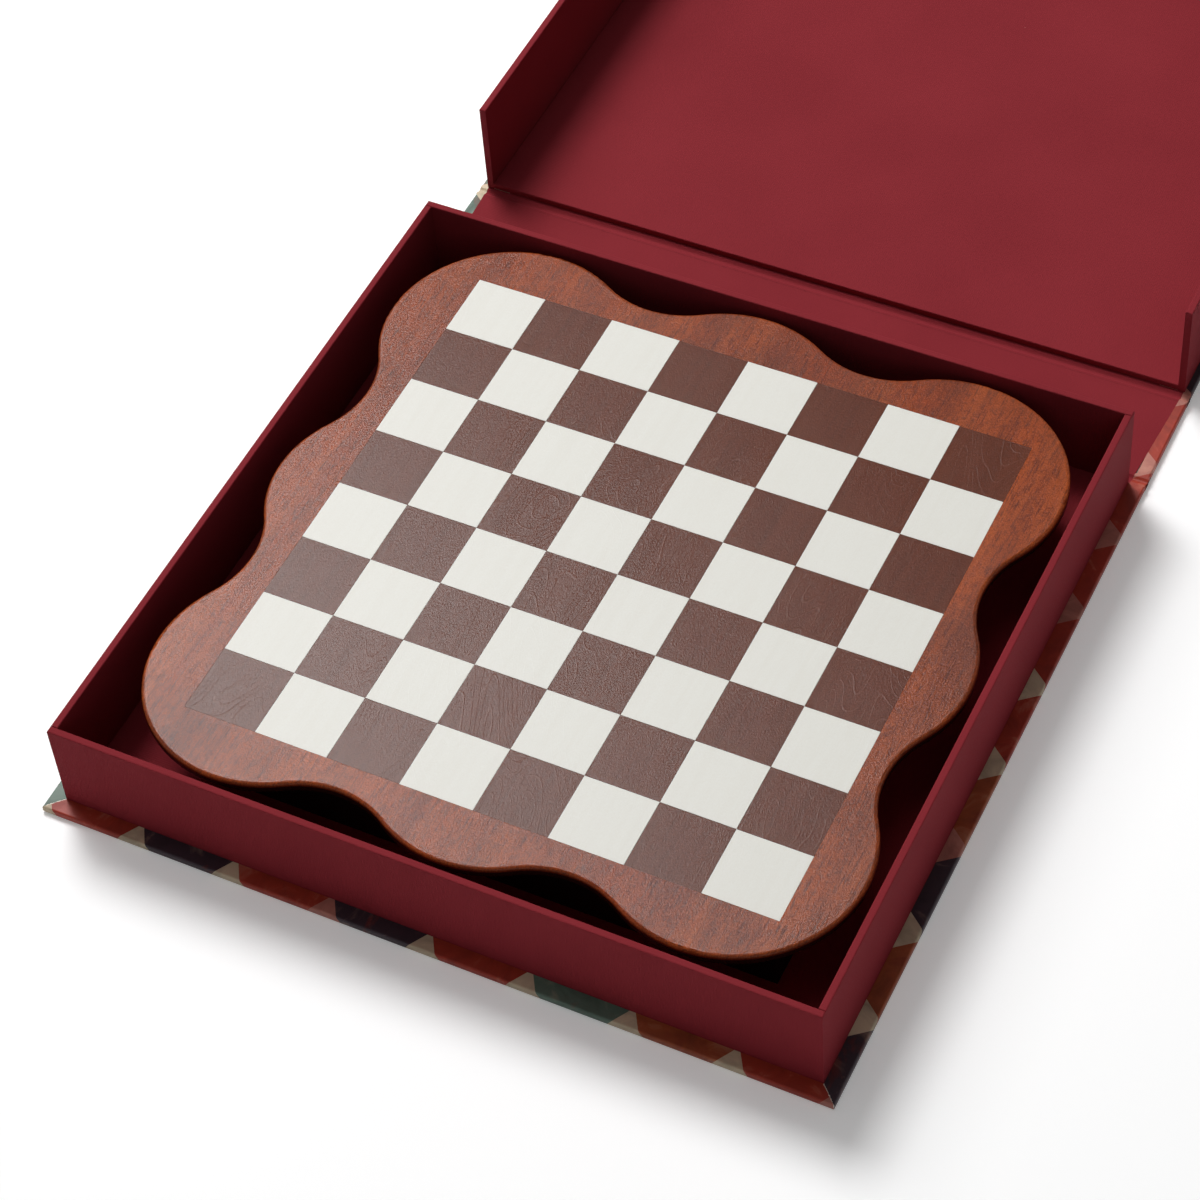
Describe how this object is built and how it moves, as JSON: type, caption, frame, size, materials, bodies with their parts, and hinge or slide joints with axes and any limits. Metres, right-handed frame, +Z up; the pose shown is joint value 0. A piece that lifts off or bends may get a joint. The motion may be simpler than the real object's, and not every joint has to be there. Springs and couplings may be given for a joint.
{
  "type": "wooden chess set in a hinged presentation box",
  "caption": "Wavy-edged wooden chess board with painted squares, resting in a burgundy-lined clamshell box over an insert that holds the chessmen.",
  "frame": {"origin": "centre of the base tray, on the underside of the bottom cover board, where the set stands", "axes": "+X to the right, +Y from the front of the tray towards the hinge and the open lid, +Z up"},
  "size_m": [0.334, 0.6964, 0.0498],
  "materials": {
    "greyboard": "raw grey board",
    "printed_paper": "printed patchwork paper, satin",
    "burgundy_paper": "fine linen-grain burgundy paper",
    "black_card": "matt black card",
    "felt": "short felt",
    "board_wood": "satin varnish over open grain",
    "dark_inlay": "satin painted dark brown",
    "light_inlay": "satin painted off-white",
    "light_wood": "satin varnish",
    "dark_wood": "satin varnish"
  },
  "bodies": {
    "base": {"base_board": "greyboard", "base_cover_paper": "printed_paper", "base_pastedown": "burgundy_paper", "tray_floor": "burgundy_paper", "tray_front_wall": "burgundy_paper", "tray_back_wall": "burgundy_paper", "tray_left_wall": "burgundy_paper", "tray_right_wall": "burgundy_paper", "insert_floor": "black_card", "insert_walls": "black_card", "insert_centre_wall": "black_card", "felt_pads": "felt", "row_dividers": "black_card"},
    "base_groove": {"base_groove": "printed_paper"},
    "spine": {"spine_board": "greyboard", "spine_cover_paper": "printed_paper", "spine_lining": "burgundy_paper"},
    "lid_groove": {"lid_groove": "printed_paper"},
    "lid": {"lid_board": "greyboard", "lid_cover_paper": "printed_paper", "lid_pastedown": "burgundy_paper", "lid_panel": "burgundy_paper", "lid_left_wall": "burgundy_paper", "lid_right_wall": "burgundy_paper", "lid_front_wall": "burgundy_paper"},
    "board": {"chess_board": "board_wood", "dark_squares": "dark_inlay", "light_squares": "light_inlay"},
    "light_men": {"light_king": "light_wood", "light_queen": "light_wood", "light_bishop_1": "light_wood", "light_bishop_2": "light_wood", "light_knight_1": "light_wood", "light_knight_2": "light_wood", "light_rook_1": "light_wood", "light_rook_2": "light_wood", "light_pawn_1": "light_wood", "light_pawn_2": "light_wood", "light_pawn_3": "light_wood", "light_pawn_4": "light_wood", "light_pawn_5": "light_wood", "light_pawn_6": "light_wood", "light_pawn_7": "light_wood", "light_pawn_8": "light_wood"},
    "dark_men": {"dark_king": "dark_wood", "dark_queen": "dark_wood", "dark_bishop_1": "dark_wood", "dark_bishop_2": "dark_wood", "dark_knight_1": "dark_wood", "dark_knight_2": "dark_wood", "dark_rook_1": "dark_wood", "dark_rook_2": "dark_wood", "dark_pawn_1": "dark_wood", "dark_pawn_2": "dark_wood", "dark_pawn_3": "dark_wood", "dark_pawn_4": "dark_wood", "dark_pawn_5": "dark_wood", "dark_pawn_6": "dark_wood", "dark_pawn_7": "dark_wood", "dark_pawn_8": "dark_wood"}
  },
  "joints": [
    {"name": "base_crease", "type": "hinge", "parent": "base", "child": "base_groove", "pos_m": [0, 0.1575, 0.0008], "axis": [-1, 0, 0], "range_deg": [-45, 0]},
    {"name": "spine_lower_crease", "type": "hinge", "parent": "base_groove", "child": "spine", "pos_m": [0, 0.1615, 0.0008], "axis": [-1, 0, 0], "range_deg": [-45, 0]},
    {"name": "spine_upper_crease", "type": "hinge", "parent": "spine", "child": "lid_groove", "pos_m": [0, 0.2079, 0.0008], "axis": [-1, 0, 0], "range_deg": [-45, 0]},
    {"name": "lid_crease", "type": "hinge", "parent": "lid_groove", "child": "lid", "pos_m": [0, 0.2119, 0.0008], "axis": [-1, 0, 0], "range_deg": [-45, 0]},
    {"name": "board_lift", "type": "slide", "parent": "base", "child": "board", "axis": [0, 0, 1], "range_m": [0, 0.15]},
    {"name": "light_men_lift", "type": "slide", "parent": "base", "child": "light_men", "axis": [0, 0, 1], "range_m": [0, 0.09]},
    {"name": "dark_men_lift", "type": "slide", "parent": "base", "child": "dark_men", "axis": [0, 0, 1], "range_m": [0, 0.09]}
  ],
  "couplings": [
    {"joint": "light_men_lift", "follows": "board_lift", "ratio": 0.6},
    {"joint": "dark_men_lift", "follows": "board_lift", "ratio": 0.6}
  ]
}
